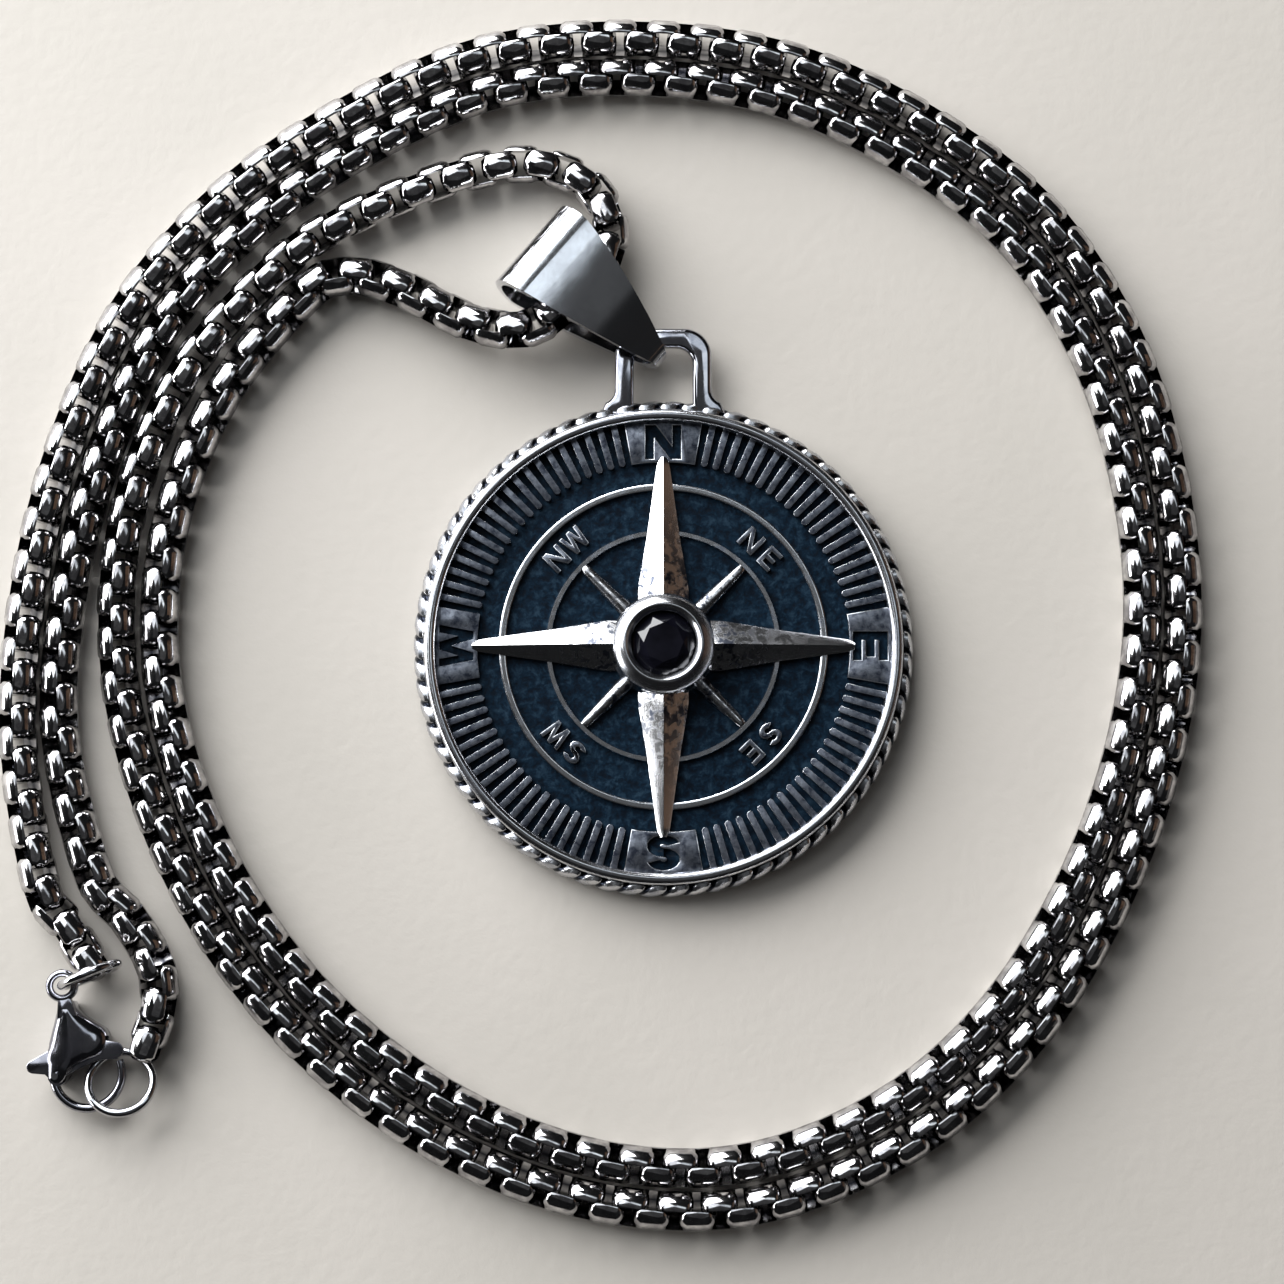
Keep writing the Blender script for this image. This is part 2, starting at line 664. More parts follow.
# %% Tick marks
MARK_OUT = RIM_IN + 0.1
TICK_IN = 14.1
TICK_SHOULDER = TICK_IN + 0.16
TICK_TOP = 1.95
TICK_W = 0.48
TICK_EDGE = 0.19
TICKS = 19
TICK_STEP = 3.6

tick_outline = [(-TICK_W / 2, MARK_OUT), (-TICK_W / 2, TICK_SHOULDER)]
tick_outline += arc_points(0, TICK_IN + TICK_W / 2, TICK_W / 2, 200, 340, 4)
tick_outline += [(TICK_W / 2, TICK_SHOULDER), (TICK_W / 2, MARK_OUT)]
quarter_of_ticks = bmesh.new()
tick = plate(tick_outline, FOOT_Z, TICK_TOP, TICK_EDGE, 3)
for i in range(TICKS):
    angle = 45 + (i - (TICKS - 1) / 2) * TICK_STEP
    add_copy(quarter_of_ticks, tick, Matrix.Rotation(math.radians(-angle), 4, "Z"), keep=True)
tick.free()
ticks = bmesh.new()
add_round(ticks, quarter_of_ticks, 4)
medallion_piece(ticks, "tick_marks", RELIEF_STEEL, edge_material=WORN_EDGE)

# %% [markdown]
# ## Letter panels
# The four main letters lie sunk in panels that stand as high as the ticks. The letter is cut out of
# the panel before the panel's edges are rounded, so the letter's own edges are soft too, and the
# low faces inside it get the dial's dark oxide.

# %% Letter panels
# Half of a panel's angle in degrees, and the height under which a face belongs to the letter's floor
PANEL_HALF = 9.9
LOW_FACES = 1.8
LETTER_W, LETTER_H, LETTER_T = 2.7, 2.6, 0.62
LETTER_FLOOR = DIAL_Z + 0.12
LETTER_EDGE = 0.07

panels = bmesh.new()
middle = Matrix.Translation((0, (RIM_IN + TICK_IN) / 2 + 0.02, 0))
for i, letter in enumerate("NESW"):
    sector = arc_points(0, 0, MARK_OUT, 90 - PANEL_HALF, 90 + PANEL_HALF, 8)
    sector += arc_points(0, 0, TICK_IN, 90 + PANEL_HALF, 90 - PANEL_HALF, 8)
    panel = solid_from(plate(sector, FOOT_Z, TICK_TOP), "panel")
    cutters = []
    for outline in letter_outlines(letter, LETTER_W, LETTER_H, LETTER_T):
        cutter = plate(outline, LETTER_FLOOR, TICK_TOP + 0.2)
        cutter.transform(middle)
        cutters.append(solid_from(cutter, "cutter"))
    sunk = combined(panel, cutters, "DIFFERENCE")
    round_top(sunk, TICK_TOP, LETTER_EDGE)
    add_copy(panels, sunk, Matrix.Rotation(math.radians(-90 * i), 4, "Z"))
medallion_piece(panels, "letter_panels", RELIEF_STEEL, edge_material=WORN_EDGE, floor_under=LOW_FACES)

# %% [markdown]
# ## Circles and small letters
# Two fine circles cross the dial, rounded on top like a bent wire but flattened where they are
# rubbed, so each is a half-round profile cut off at one height. Between them lie the pairs of small
# letters, raised and worn.

# %% Circles and small letters
OUTER_CIRCLE, OUTER_LINE = 12.2, 0.53
INNER_CIRCLE, INNER_LINE = 8.7, 0.42
LINE_TOP = 1.85
SMALL_W, SMALL_H, SMALL_T, SMALL_GAP = 1.55, 1.75, 0.37, 0.4

circles = bmesh.new()
for radius, width in ((OUTER_CIRCLE, OUTER_LINE), (INNER_CIRCLE, INNER_LINE)):
    top = arc_points(radius, LINE_TOP - 0.14, width / 2, 180, 0, 8)
    profile = [(radius - width / 2, FOOT_Z)] + [(r, min(LINE_TOP, z)) for r, z in top]
    profile += [(radius + width / 2, FOOT_Z)]
    add_copy(circles, turned(profile, 160, closed=True))
medallion_piece(circles, "dial_circles", LINE_STEEL)

smalls = bmesh.new()
small_at = (OUTER_CIRCLE + INNER_CIRCLE) / 2
for quarter, pair in enumerate(["NE", "SE", "SW", "NW"]):
    turn = Matrix.Rotation(math.radians(-45 - 90 * quarter), 4, "Z")
    for side, letter in zip((-1, 1), pair):
        shape = raised_letter(letter, SMALL_W, SMALL_H, SMALL_T, FOOT_Z, LINE_TOP + 0.02, LETTER_EDGE)
        shift = side * (SMALL_W + SMALL_GAP) / 2
        add_copy(smalls, shape, turn @ Matrix.Translation((shift, small_at, 0)))
medallion_piece(smalls, "small_letters", RELIEF_STEEL, edge_material=WORN_EDGE)

# %% [markdown]
# ## The star
# Four long rays run from the stone's setting to the letter panels, and four short ones between
# them end at the inner circle. Each is a roof: a ridge with two sloping flanks, lower and narrower
# towards its tip. A grid is wrapped over that roof, its width and ridge height read from a short
# table, and the open underside is closed where it sinks into the floor. The short rays have a softer
# section, because they were cast smaller and have worn round.

# %% Rays
RAY_START, RAY_TIP = 2.8, 14.5
RAY_W, RAY_RIDGE, RAY_WALL = 1.9, 1.7, 0.45
SHORT_W, SHORT_RIDGE, SHORT_WALL = 0.7, 0.9, 0.26
# Along a ray: share of its length, of its half width and of its ridge's height
RAY_TABLE = [(0.0, 1.0, 1.0), (0.14, 1.0, 1.0), (0.45, 0.68, 0.78), (0.8, 0.38, 0.55), (0.96, 0.24, 0.45),
             (1.0, 0.12, 0.36)]
SHORT_TABLE = [(0.0, 1.0, 1.0), (0.5, 0.74, 0.76), (0.93, 0.5, 0.52), (1.0, 0.25, 0.3)]
# Sections: place across, share of the way from the wall's top to the ridge (None: at the floor)
ROOF = [(-1.0, None), (-1.0, 0.0), (-0.9, 0.12), (-0.5, 0.52), (-0.1, 0.93), (0.0, 1.0), (0.1, 0.93),
        (0.5, 0.52), (0.9, 0.12), (1.0, 0.0), (1.0, None)]
SOFT_ROOF = [(-1.0, None), (-1.0, 0.0), (-0.9, 0.4), (-0.65, 0.75), (-0.3, 0.95), (0.0, 1.0), (0.3, 0.95),
             (0.65, 0.75), (0.9, 0.4), (1.0, 0.0), (1.0, None)]


def roof(table, section, start, stop, half_width, ridge, wall):
    """A ridged ray along Y: two low walls with a roof over them."""
    widths = [(at, width) for at, width, height in table]
    heights = [(at, height) for at, width, height in table]

    def place(u, v):
        across, share = row(section, u)
        x = half_width * between(widths, v) * across
        top = ridge * between(heights, v)
        low = min(wall, top * 0.8)
        z = FOOT_Z if share is None else DIAL_Z + low + (top - low) * share
        return x, start + (stop - start) * v, z

    bm = wrapped_grid(len(section) - 1, 24, place)
    close_holes(bm)
    return bm


star = bmesh.new()
long_ray = roof(RAY_TABLE, ROOF, RAY_START, RAY_TIP, RAY_W, RAY_RIDGE, RAY_WALL)
short_ray = roof(SHORT_TABLE, SOFT_ROOF, RAY_START, INNER_CIRCLE, SHORT_W, SHORT_RIDGE, SHORT_WALL)
add_round(star, long_ray, 4)
add_round(star, short_ray, 4, 45)
medallion_piece(star, "star_rays", STAR_STEEL, sharp=45)

# %% [markdown]
# ## The stone's setting
# The setting is a domed ring with a thin collar at its foot. Its inner edge reaches over the stone's
# girdle, as a jeweller presses the metal over a stone to hold it. It is turned from one profile.

# %% Bezel
BEZEL_IN, BEZEL_OUT, BEZEL_TOP = 2.45, 3.82, 4.2
COLLAR_OUT = BEZEL_OUT + 0.2
# Up the inner side, over the dome, and down the outer side to the collar
bezel_profile = [(BEZEL_IN + 0.25, DIAL_Z + 0.3), (BEZEL_IN + 0.25, 3.3), (BEZEL_IN, 3.42), (BEZEL_IN, 3.78)]
bezel_profile += [(BEZEL_IN + 0.04, 3.86), (BEZEL_IN + 0.36, 4.16), (BEZEL_IN + 0.42, BEZEL_TOP)]
bezel_profile += [(2.98, 4.18), (3.15, 4.10), (3.35, 3.97), (3.55, 3.80), (3.7, 3.65), (3.79, 3.53)]
bezel_profile += [(BEZEL_OUT, 3.4), (BEZEL_OUT, 2.3), (BEZEL_OUT + 0.16, 2.15), (COLLAR_OUT, 2.0)]
bezel_profile += [(COLLAR_OUT, FOOT_Z), (BEZEL_IN, FOOT_Z)]
medallion_piece(turned(bezel_profile, 96, closed=True), "stone_bezel", RIM_STEEL, sharp=50)

# %% [markdown]
# ## The stone
# The stone is black and cut like a brilliant. Only its crown shows, so its table, the eight facets
# round it and the girdle are what matter. A convex hull over rings of points gives flat facets,
# because each facet of a cut stone is flat and the whole is convex.

# %% Stone
GIRDLE_Z, GIRDLE_R, TABLE_R, CROWN = 3.25, 2.6, 1.5, 0.77


def cut_stone():
    """Hull over the rings of a brilliant: table, kites, girdle, pavilion and culet."""
    bm = bmesh.new()
    # Sides, turn, radius and height above the girdle
    rings = [(8, 0.0, TABLE_R, CROWN), (8, 22.5, 2.1, 0.46), (16, 0.0, GIRDLE_R, 0.0),
             (16, 0.0, GIRDLE_R, -0.15), (8, 22.5, 0.94, -0.9), (8, 0.0, 0.05, -1.25)]
    for sides, turn, radius, height in rings:
        made = bmesh.ops.create_circle(bm, segments=sides, radius=radius)
        matrix = Matrix.Translation((0, 0, GIRDLE_Z + height)) @ Matrix.Rotation(math.radians(turn), 4, "Z")
        bmesh.ops.transform(bm, matrix=matrix, verts=made["verts"])
    hull = bmesh.ops.convex_hull(bm, input=bm.verts)
    spare = [g for g in hull["geom_interior"] + hull["geom_unused"] if isinstance(g, bmesh.types.BMVert)]
    bmesh.ops.delete(bm, geom=spare, context="VERTS")
    bmesh.ops.dissolve_limit(bm, angle_limit=math.radians(1), verts=bm.verts, edges=bm.edges)
    return bm


finish_piece(cut_stone(), "set_stone", STONE_BLACK, "black_stone", replaces=["stone"], sharp=4)

# %% [markdown]
# ## The eye
# The eye is a flat loop cast with the rope's edge: two legs and a top bar, rounded all over by
# years of wear. Its outline is drawn once for the right half, mirrored, raised, and its edges
# are rounded by nearly half of its thickness. The opening is a second outline cut through it.

# %% Eye
EYE_LOW, EYE_HIGH = 1.1, 2.1
EYE_HALF, EYE_LEG, EYE_BAR, EYE_TOP = 3.7, 1.45, 1.5, 24.55
EYE_FLARE, EYE_CORNER, EYE_IN_CORNER, EYE_EDGE = 1.1, 2.1, 1.25, 0.36
# Where the legs end under the rope, and where they begin to flare
EYE_FOOT, FLARE_TOP = 17.8, 19.8


def both_sides(points):
    """Adds the mirrored points, so that a half outline becomes whole."""
    return points + [(-x, y) for x, y in reversed(points)]


def eye_shape():
    """Two legs that flare at their feet, and a top bar, with every sharp edge rounded."""
    inner = EYE_HALF - EYE_LEG
    inner_top = EYE_TOP - EYE_BAR
    outer = [(EYE_HALF + EYE_FLARE, EYE_FOOT)]
    outer += arc_points(EYE_HALF + EYE_FLARE, FLARE_TOP, EYE_FLARE, 250, 180, 6)
    outer += arc_points(EYE_HALF - EYE_CORNER, EYE_TOP - EYE_CORNER, EYE_CORNER, 0, 90, 10)
    hole = [(inner, EYE_FOOT - 0.1)]
    hole += arc_points(inner - EYE_IN_CORNER, inner_top - EYE_IN_CORNER, EYE_IN_CORNER, 0, 90, 8)
    body = solid_from(plate(both_sides(outer), EYE_LOW, EYE_HIGH), "eye")
    cut = solid_from(plate(both_sides(hole), EYE_LOW - 1, EYE_HIGH + 1), "hole")
    bm = combined(body, [cut], "DIFFERENCE")
    rims = [e for e in bm.edges if len(e.link_faces) == 2 and e.calc_face_angle(0) > 0.9
            and abs(e.verts[0].co.z - e.verts[1].co.z) < 1e-5]
    bmesh.ops.bevel(bm, geom=rims, offset=EYE_EDGE, offset_type="OFFSET", segments=4, profile=0.5,
                    affect="EDGES", material=-1, clamp_overlap=True)
    return bm


medallion_piece(eye_shape(), "hanging_eye", EYE_STEEL)

# %% [markdown]
# ## The bail
# A bail is one strip of sheet, wide at the fold that holds the chain and narrow at the fold that
# holds the eye. Its side view is a loop: two round ends of different size, joined by straight
# lines. The points of that loop are spaced evenly first, so that the grid wrapped round it later
# has faces of one length.

# %% Bail's side view
ROLL_R, TIP_R, BAIL_T, BAIL_L, BAIL_W = 2.3, 0.95, 0.6, 9.8, 7.8
BAIL_STEPS = 72


def bail_loop(offset, count):
    """Side view of the loop, offset outwards from its inner face, as evenly spaced points."""
    big, small = ROLL_R + offset, TIP_R + offset
    lean = math.degrees(math.asin((big - small) / BAIL_L))
    corners = arc_points(0, 0, big, 90 - lean, 270 + lean, 60)
    corners += arc_points(BAIL_L, 0, small, lean - 90, 90 - lean, 30)
    corners.append(corners[0])
    lengths = [0.0]
    for p, q in zip(corners, corners[1:]):
        lengths.append(lengths[-1] + math.dist(p, q))
    spread = []
    for i in range(count + 1):
        wanted = lengths[-1] * i / count
        k = max(j for j in range(len(lengths) - 1) if lengths[j] <= wanted + 1e-9)
        share = (wanted - lengths[k]) / (lengths[k + 1] - lengths[k])
        spread.append(Vector(corners[k]).lerp(Vector(corners[k + 1]), share))
    print("bail's strip is", round(lengths[-1], 1), "mm long")
    return spread


strip_loop = bail_loop(BAIL_T / 2, BAIL_STEPS)

# %% [markdown]
# ## The bail's sheet
# The strip's width falls from the wide fold to the tip, and is read from a table. The upper face
# bulges a little, because a folded sheet springs back, and that bulge is what splits its reflection
# into bands. The sheet gets its thickness last. It leans on the eye's upper left corner and is
# turned towards the chain, as it fell.

# %% Bail
# Share of the bail's length, from the wide fold, and the strip's width there
STRIP = [(0.0, 1.0), (0.15, 0.97), (0.3, 0.86), (0.45, 0.73), (0.6, 0.58), (0.75, 0.42), (0.88, 0.26),
         (0.96, 0.16), (1.0, 0.10)]
BULGE = 0.35
BAIL_TURN, BAIL_PITCH, BAIL_ROLL = -40.7, 12.0, -6.0
BAIL_TIP = (1.2 - (EYE_HALF - EYE_LEG), EYE_TOP - 1.85, EYE_LOW + 0.56)


def bail_shape():
    """The folded strip about its own fold, with its thickness."""
    start = -ROLL_R - BAIL_T
    span = BAIL_L + TIP_R + BAIL_T - start

    def place(u, v):
        point = row(strip_loop, v)
        half = BAIL_W / 2 * between(STRIP, (point.x - start) / span)
        on_upper_face = 0 < point.x < BAIL_L and point.y > 0
        swell = BULGE * math.sin(math.pi * point.x / BAIL_L) if on_upper_face else 0.0
        return point.x, (2 * u - 1) * half, point.y + swell

    bm = wrapped_grid(8, BAIL_STEPS, place, closed=True)
    bmesh.ops.recalc_face_normals(bm, faces=bm.faces)
    for vert in bm.verts:
        vert.normal_update()
    bmesh.ops.solidify(bm, geom=bm.faces, thickness=BAIL_T)
    return bm


def turned_about(place, *turns):
    """A place after turns about axes, each given in degrees, the last one made first."""
    matrix = Matrix.Translation(place)
    for degrees, axis in turns:
        matrix = matrix @ Matrix.Rotation(math.radians(degrees), 4, axis)
    return matrix


bail = bail_shape()
bail.transform(turned_about(BAIL_TIP, (BAIL_TURN, "Z"), (BAIL_PITCH, "Y"), (BAIL_ROLL, "X"))
               @ Matrix.Translation((-BAIL_L, 0, 0)))
finish_piece(bail, "folded_bail", BAIL_STEEL, "bail_steel", replaces=["bail"], sharp=50)

# %% [markdown]
# ## The chain's route
# The chain is one run of 70 cm: from the jump ring round the outside of the coil, through the
# bail, and back round the inside to the end ring. Most of the way its two strands lie side by side,
# so a few points along the middle of the pair, with the distance between the strands, set both.
# The points are round numbers in metres, chosen by eye.

# %% Points of the route
CHAIN_D = 0.0029
# Middle x, middle y and the distance between the two strands
PAIR = [(-0.0285, 0.0285, 0.0031), (-0.0352, 0.0204, 0.0034), (-0.0392, 0.0098, 0.0034),
        (-0.0397, -0.0014, 0.0032), (-0.0369, -0.0121, 0.0031), (-0.0316, -0.0220, 0.0031),
        (-0.0243, -0.0301, 0.0031), (-0.0150, -0.0364, 0.0031), (-0.0043, -0.0401, 0.0031),
        (0.0067, -0.0402, 0.0032), (0.0174, -0.0359, 0.0031), (0.0257, -0.0288, 0.0031),
        (0.0319, -0.0194, 0.0031), (0.0360, -0.0091, 0.0031), (0.0379, 0.0018, 0.0031),
        (0.0371, 0.0129, 0.0031), (0.0339, 0.0236, 0.00315), (0.0279, 0.0330, 0.00315),
        (0.0191, 0.0399, 0.00315), (0.0091, 0.0445, 0.00315), (-0.0020, 0.0461, 0.0031),
        (-0.0133, 0.0450, 0.0031), (-0.0235, 0.0404, 0.0031), (-0.0327, 0.0339, 0.0031),
        (-0.0397, 0.0256, 0.0031), (-0.0442, 0.0153, 0.0031), (-0.0467, 0.0043, 0.0031),
        (-0.0472, -0.0067, 0.0032), (-0.0448, -0.0177, 0.0040)]
# Single stretches: x, y and the height of the chain's middle above its lying height
OUTER_END = [(-0.04295, -0.0238, 0), (-0.0448, -0.0210, 0)]
OUTER_START = [(-0.0253, 0.0327, 0), (-0.0200, 0.0352, 0), (-0.0148, 0.0370, 0), (-0.0103, 0.0376, 0.0001),
               (-0.0063, 0.0363, 0.0003), (-0.0043, 0.0336, 0.0007)]
IN_BAIL = [(-0.0042, 0.0302, 0.0010), (-0.0062, 0.0276, 0.0016), (-0.0085, 0.0251, 0.0021)]
INNER_START = [(-0.0112, 0.0241, 0.0016), (-0.0152, 0.0251, 0.0008), (-0.0199, 0.0276, 0.0003),
               (-0.0240, 0.0288, 0)]
INNER_END = [(-0.0404, -0.0202, 0), (-0.0381, -0.0239, 0), (-0.0377, -0.0269, 0), (-0.0386, -0.0300, 0)]
# How far the last links reach past the solid chain, to be held by the jump ring and the end ring
REACH_JUMP = 0.00047
REACH_END = 0.0003
print(len(PAIR), "points for the pair of strands")

# %% [markdown]
# ## From points to a smooth line
# The two strands are set off to both sides of the pair's middle line, and joined with the single
# stretches into one row of points. A smooth curve through them gives the line that the links
# follow, and its length is the chain's length.

# %% Smooth line
LINE_STEPS = 16


def strand_points(side):
    """Points of the outer strand, side 1, or the inner one, side -1."""
    points = []
    for i, (x, y, apart) in enumerate(PAIR):
        ahead = PAIR[min(i + 1, len(PAIR) - 1)]
        behind = PAIR[max(i - 1, 0)]
        d = Vector((ahead[0] - behind[0], ahead[1] - behind[1])).normalized()
        points.append((x + d.y * side * apart / 2, y - d.x * side * apart / 2, 0))
    return points


def chain_route():
    """Points from the jump ring to the end ring, at the height where the chain lies, with its reach."""
    flat = OUTER_END + strand_points(1)[::-1] + OUTER_START + IN_BAIL
    flat += INNER_START + strand_points(-1) + INNER_END
    points = [Vector((x, y, z + CHAIN_D / 2)) for x, y, z in flat]
    points[0] += (points[0] - points[1]).normalized() * REACH_JUMP
    points[-1] += (points[-1] - points[-2]).normalized() * REACH_END
    return points


def smooth_line(points, steps):
    """A smooth curve through the points, with steps short pieces between two of them."""
    whole = [2 * points[0] - points[1]] + points + [2 * points[-1] - points[-2]]
    line = []
    for a, b, c, d in zip(whole, whole[1:], whole[2:], whole[3:]):
        for i in range(steps):
            t = i / steps
            line.append(0.5 * (2 * b + (c - a) * t + (2 * a - 5 * b + 4 * c - d) * t ** 2
                               + (3 * b - a - 3 * c + d) * t ** 3))
    return line + [points[-1]]


route_line = smooth_line(chain_route(), LINE_STEPS)
route_at = [0.0]
for p, q in zip(route_line, route_line[1:]):
    route_at.append(route_at[-1] + (q - p).length)
print("chain length", round(route_at[-1], 4), "m")

# %% [markdown]
# ## The links
# A box chain's link is a strip bent into a small closed loop. From outside it shows two bright,
# domed pads, and every other link is turned a quarter, so the pads of one lie in the gaps of the
# next. Round its two ends the strip is narrower, and it passes there through the neighbour's loop,
# which is how the links hold each other. A grid is wrapped along the loop, one row of points for
# each station. There are over four hundred links, so a link keeps to a few dozen faces.

# %% One link
PITCH = 1.67
# Stations of a quarter of the loop: x, z, share of the way from pad to end bar, its turn, how polished
QUARTER = [(0.80, 1.45, 0.0, 0.0, 1.0), (1.19, 1.29, 0.2, 45.0, 0.85), (1.39, 0.92, 1.0, 90.0, 0.5)]
# The strip's section: sideways and depth at the pads, the same at the end bars, and how polished
SECTION = [(-1.0, 0.48, -0.66, 0.26, 0.7), (-0.88, 0.25, -0.58, 0.06, 1.0), (0.0, 0.0, 0.0, 0.0, 1.0),
           (0.88, 0.25, 0.58, 0.06, 1.0), (1.0, 0.48, 0.66, 0.26, 0.7), (0.0, 0.46, 0.0, 0.36, 0.0)]


def link_stations():
    """Places round the whole loop with their outward direction, clockwise from the upper pad."""
    stations = []
    for sx, sz in ((1, 1), (1, -1), (-1, -1), (-1, 1)):
        quarter = QUARTER if sx * sz > 0 else QUARTER[::-1]
        for x, z, share, turn, worn in quarter:
            angle = math.radians(turn)
            stations.append((sx * x, sz * z, sx * math.sin(angle), sz * math.cos(angle), share, worn))
    return stations


def link_shape():
    """A strip bent into a closed loop: wide and domed at the pads, narrower round the ends."""
    stations = link_stations()

    def at(u, v):
        i, j = round(u * len(SECTION)) % len(SECTION), round(v * len(stations)) % len(stations)
        return SECTION[i], stations[j]

    def place(u, v):
        (y0, d0, y1, d1, bright), (x, z, out_x, out_z, share, worn) = at(u, v)
        y, depth = y0 + (y1 - y0) * share, d0 + (d1 - d0) * share
        return x - out_x * depth, y, z - out_z * depth

    def paint(u, v):
        section, station = at(u, v)
        return section[-1] * station[-1]

    link = wrapped_grid(len(SECTION), len(stations), place, closed=True, paint=paint)
    bmesh.ops.recalc_face_normals(link, faces=link.faces)
    print("one link:", len(link.faces), "faces")
    return link


# %% [markdown]
# ## Links along the route
# Each link is put at its share of the route's length, its own X along the chain, rolled as the real
# chain lies and turned a quarter every other time. The roll is read from a table, because the chain
# is level in the bail and at its rings, and lies on its edge between them. All links are joined
# into one mesh.

# %% Links along the route
# Share of the chain's length and the turn of the links about the chain's own line, in degrees
ROLL = [(0.0, 0.0), (0.003, 4.0), (0.009, 38.0), (0.1, 42.0), (0.3, 45.0), (0.42, 40.0), (0.49, 25.0),
        (0.5, 5.0), (0.54, 24.0), (0.6, 42.0), (0.7, 45.0), (0.82, 36.0), (0.95, 42.0), (0.991, 38.0),
        (0.997, 4.0), (1.0, 0.0)]
HALF_LINK = 0.0008


def point_at(distance):
    """Place at a distance along the route."""
    distance = min(max(distance, 0.0), route_at[-1])
    low = min(max(bisect.bisect_right(route_at, distance) - 1, 0), len(route_at) - 2)
    share = (distance - route_at[low]) / (route_at[low + 1] - route_at[low])
    return route_line[low].lerp(route_line[low + 1], share)


def link_matrix(distance, quarter):
    """Where a link sits: its X along the chain, its Z up, then rolled and given its quarter turn."""
    ahead, behind = point_at(distance + HALF_LINK), point_at(distance - HALF_LINK)
    along = (ahead - behind).normalized()
    side = Vector((0, 0, 1)).cross(along).normalized()
    up = along.cross(side)
    turn = Matrix((along, side, up)).transposed().to_4x4()
    roll = math.radians(between(ROLL, distance / route_at[-1]))
    centre = (ahead + behind) / 2 / MM
    return Matrix.Translation(centre) @ turn @ Matrix.Rotation(roll + quarter * math.pi / 2, 4, "X")


link = link_shape()
link_mesh = bpy.data.meshes.new("link")
link.to_mesh(link_mesh)
link.free()
LINKS = 2 * round(route_at[-1] / MM / PITCH / 2) + 1
chain = bmesh.new()
for i in range(LINKS):
    matrix = link_matrix(route_at[-1] * i / (LINKS - 1), i % 2)
    link_mesh.transform(matrix)
    chain.from_mesh(link_mesh)
    link_mesh.transform(matrix.inverted())
bpy.data.meshes.remove(link_mesh)
finish_piece(chain, "box_chain", CHAIN_STEEL, "chain_steel", replaces=["chain"], sharp=62)
print(LINKS, "links, one every", round(route_at[-1] / MM / (LINKS - 1), 3), "mm")

# %% [markdown]
# ## Rings
# Both rings are round wire, bent into a circle and closed. A circle spun about the ring's middle
# makes one. The jump ring stands on its edge through the clasp's eyelet and the chain's last link,
# and the end ring leans on the clasp's hook.

# %% Jump ring and end ring
WIRE_R = 0.33
JUMP_D, END_D = 5.1, 5.5
JUMP_AT, END_AT = (-42.7, -24.82, 0.45 + JUMP_D / 2), (-40.45, -32.75, 1.6)


def wire_ring(outer_diameter, matrix):
    """A round wire ring about its own Z axis, then placed."""
    radius = outer_diameter / 2 - WIRE_R
    profile = arc_points(radius, 0, WIRE_R, 0, 337.5, 15)
    bm = turned(profile, 72, closed=True)
    bm.transform(matrix)
    return bm


jump_ring = wire_ring(JUMP_D, turned_about(JUMP_AT, (22.2, "Z"), (90, "X")))
finish_piece(jump_ring, "clasp_jump_ring", RING_STEEL, "ring_steel", replaces=["jump_ring"])
end_ring = wire_ring(END_D, turned_about(END_AT, (-20, "X")))
finish_piece(end_ring, "chain_end_ring", RING_STEEL, "ring_steel", replaces=["end_ring"])

# %% [markdown]
# ## The clasp's body
# A lobster clasp is a small casting: an eyelet, a plump teardrop body and a curved claw. The body's
# outline is the same at every height and only shrinks, below to a rounded underside and above to a
# dome over a short spine. So a grid is wrapped round it, one row of points for each level.

# %% Clasp's body
CLASP_AT = turned_about((-44.8, -25.62, 0), (-81, "Z"))
CLASP_T = 2.95
DOME_Z = 2.0
SPINE_START, SPINE_END = Vector((2.1, 0.08)), Vector((4.8, 0.3))
PIVOT = (6.55, -1.4)


def body_outline():
    """The teardrop seen from above, from the neck round the pivot's side and back."""
    outline = [(1.2, 0.62), (1.2, -0.52), (1.9, -0.75), (3.2, -1.27)]
    outline += arc_points(5.3, -0.75, 1.3, -125, -70, 5)
    outline += arc_points(PIVOT[0], PIVOT[1], 0.72, -80, 80, 6)
    outline += [(6.05, 0.2), (5.75, 1.3)]
    outline += arc_points(4.3, 1.4, 1.4, 12, 122, 8)
    outline += [(2.4, 1.2), (1.8, 0.78)]
    return [Vector(p) for p in outline]


def spine_point(p):
    """The place on the spine that lies nearest to a point of the outline."""
    spine = SPINE_END - SPINE_START
    along = (p - SPINE_START).dot(spine) / spine.length_squared
    return SPINE_START.lerp(SPINE_END, min(max(along, 0.0), 1.0))


def domed_body():
    """The body's outline at its levels, each a share of the way from the spine, and its height."""
    outline = body_outline()
    levels = [(0.84, 0.0), (0.95, 0.18), (1.0, 0.5), (1.0, DOME_Z)]
    for degrees in range(8, 96, 8):
        angle = math.radians(degrees)
        levels.append((math.cos(angle), DOME_Z + (CLASP_T - DOME_Z) * math.sin(angle)))

    def place(u, v):
        p = outline[round(u * len(outline)) % len(outline)]
        share, z = row(levels, v)
        return *spine_point(p).lerp(p, share), z

    bm = wrapped_grid(len(outline), len(levels) - 1, place, closed=True)
    close_holes(bm)
    bmesh.ops.triangulate(bm, faces=[f for f in bm.faces if len(f.verts) > 4])
    bmesh.ops.recalc_face_normals(bm, faces=bm.faces)
    return bm


# %% [markdown]
# ## The claw, the eyelet and the whole clasp
# The claw is a bar bent along an arc, so a grid is wrapped round that arc. The eyelet is turned from
# a round section. The body is cut by two boxes, one for the lever's slot and one for the room
# under the hook's opening, and then carries the eyelet, its neck and the claw.

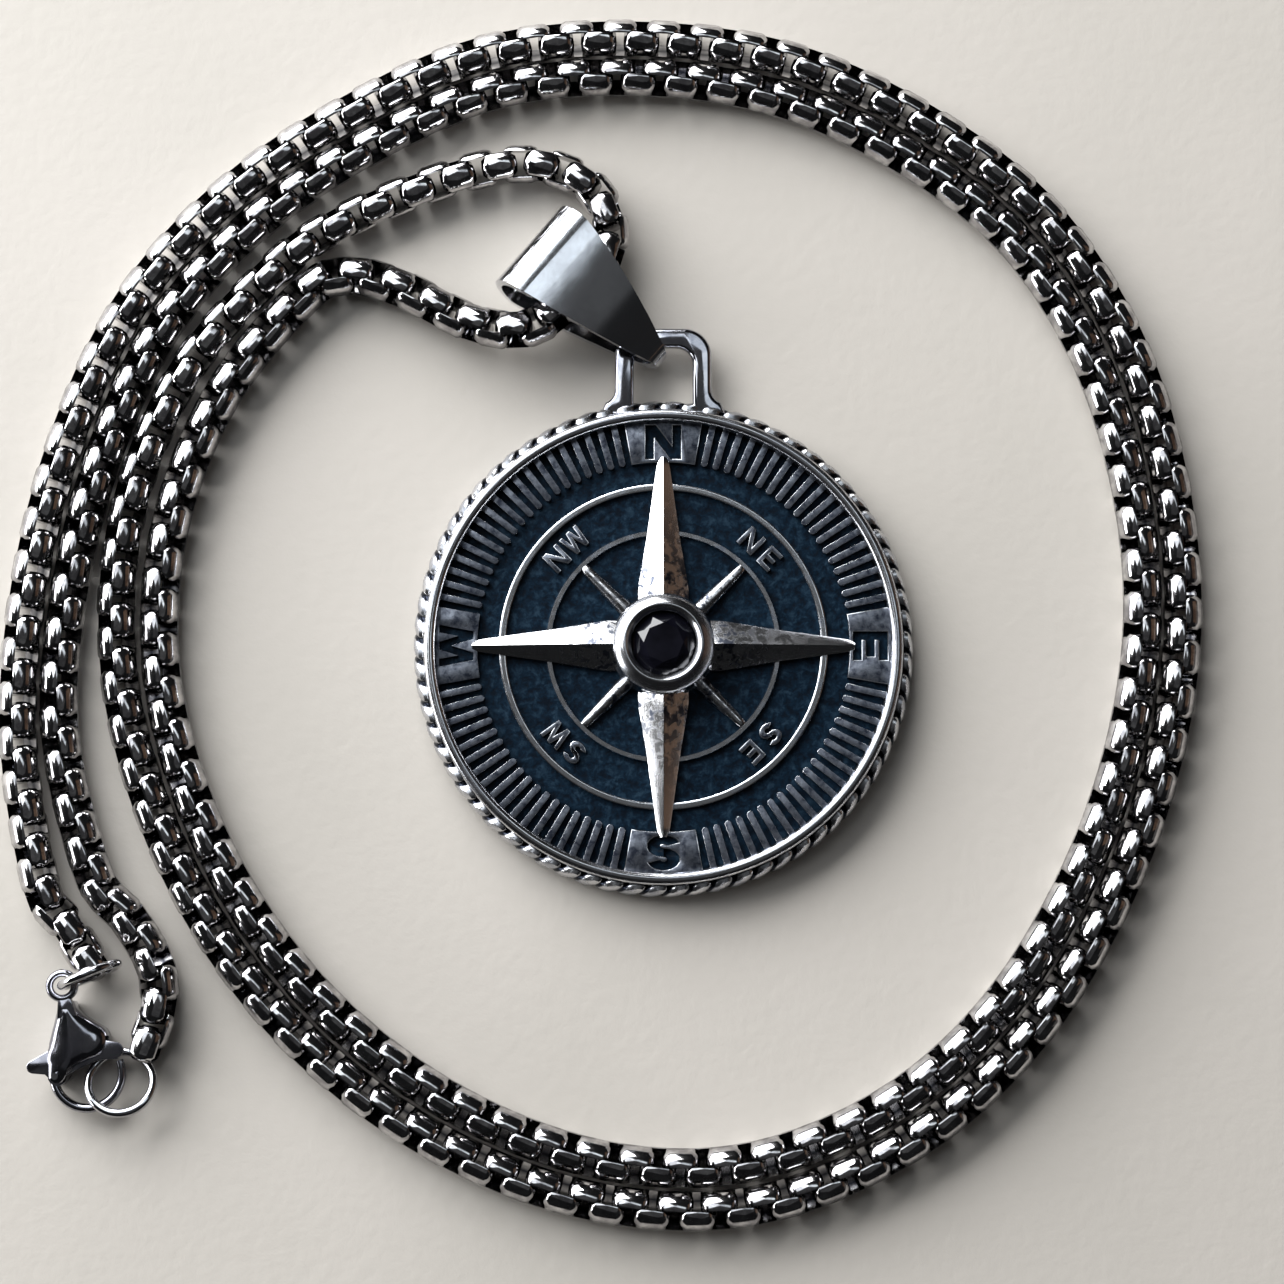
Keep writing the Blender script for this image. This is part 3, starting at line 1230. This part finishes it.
# %% Clasp
EYELET_T, EYELET_R, EYELET_RIM = 0.75, 0.65, 0.58
HOOK_AT, HOOK_R, HOOK_W, HOOK_Z, HOOK_T = (6.7, 0.8), 2.9, 0.7, 0.9, 0.8
HOOK_START, HOOK_STOP = -112.0, 104.0
LEVER_SLOT = ((4.15, -4, 1.75), (8.2, 4, 2.35))
HOOK_ROOM = ((4.15, 0.9, -1), (8.2, 2.87, 1.4))


def claw():
    """The bent claw: an oval bar along the hook's arc, thinner at its tip."""
    middle_r = HOOK_R - HOOK_W / 2

    def place(u, v):
        angle = math.radians(HOOK_START + (HOOK_STOP - HOOK_START) * v)
        turn = 2 * math.pi * u
        slim = 1 - 0.15 * max(0, v - 0.7) / 0.3
        radius = middle_r + HOOK_W / 2 * slim * math.cos(turn)
        height = HOOK_Z + HOOK_T / 2 + HOOK_T / 2 * math.sin(turn)
        return HOOK_AT[0] + radius * math.cos(angle), HOOK_AT[1] + radius * math.sin(angle), height

    bm = wrapped_grid(12, 40, place, closed=True)
    close_holes(bm)
    return bm


def eyelet():
    """A flat ring with round inner and outer sides."""
    half_w, half_h = EYELET_RIM / 2, EYELET_T / 2
    section = []
    for i in range(12):
        turn = 2 * math.pi * i / 12
        out, up = half_w * (1 + math.cos(turn)), half_h * (1 - math.sin(turn))
        section.append((EYELET_R + out, CLASP_T - up))
    return turned(section, 40, closed=True)


def clasp_shape():
    """Body with its lever slot, the claw and the eyelet."""
    cutters = [solid_from(small_box(*LEVER_SLOT), "slot"), solid_from(small_box(*HOOK_ROOM), "room")]
    bm = combined(solid_from(domed_body(), "body"), cutters, "DIFFERENCE")
    neck = [(0.85, 0.5), (0.85, -0.42), (2.4, -0.72), (2.4, 0.85)]
    for part in (eyelet(), plate(neck, CLASP_T - EYELET_T, CLASP_T - 0.06, 0.2), claw()):
        add_copy(bm, part)
    bm.transform(CLASP_AT)
    return bm


finish_piece(clasp_shape(), "lobster_clasp", CLASP_STEEL, "clasp_steel", replaces=["clasp_body"], sharp=40)

# %% [markdown]
# ## The lever and its pin
# The lever is the one hard moving piece. Its gate closes the hook and its thumb tab sticks out on the
# left, both in one plate with rounded edges above and below. It rides on a body of its own, which
# turns about the pin, so nothing of the lever may be joined to the clasp.

# %% Lever and pin
LEVER_LOW, LEVER_HIGH = 1.8, 2.3
PIN_R, PIN_LOW = 0.25, 0.31


def lever_shape():
    """Thumb tab and gate in one piece, with a round eye for the pin."""
    outline = [(6.95, -1.4), (6.4, -0.1), (6.05, 1.0), (5.85, 2.0), (6.0, 3.3)]
    outline += arc_points(5.3, 3.2, 0.6, 10, 150, 6)
    outline += [(4.5, 2.6), (4.6, 1.2), (5.2, -0.6), (4.6, -1.75)]
    outline += arc_points(5.6, -3.0, 0.5, 190, 340, 6)
    outline += [(6.3, -2.2), (6.9, -1.75)]
    bm = plate(outline, LEVER_LOW, LEVER_HIGH, 0.15, 3, both=True)
    bm.transform(CLASP_AT)
    return bm


finish_piece(lever_shape(), "clasp_thumb_lever", CLASP_STEEL, "clasp_steel", body="lever",
             replaces=["clasp_lever"], sharp=40)
pin = bmesh.new()
bmesh.ops.create_cone(pin, cap_ends=True, segments=24, radius1=PIN_R, radius2=PIN_R, depth=CLASP_T - PIN_LOW)
bmesh.ops.translate(pin, vec=(*PIVOT, (CLASP_T + PIN_LOW) / 2), verts=pin.verts)
pin.transform(CLASP_AT)
finish_piece(pin, "clasp_rivet", RING_STEEL, "clasp_steel", replaces=["clasp_pin"])
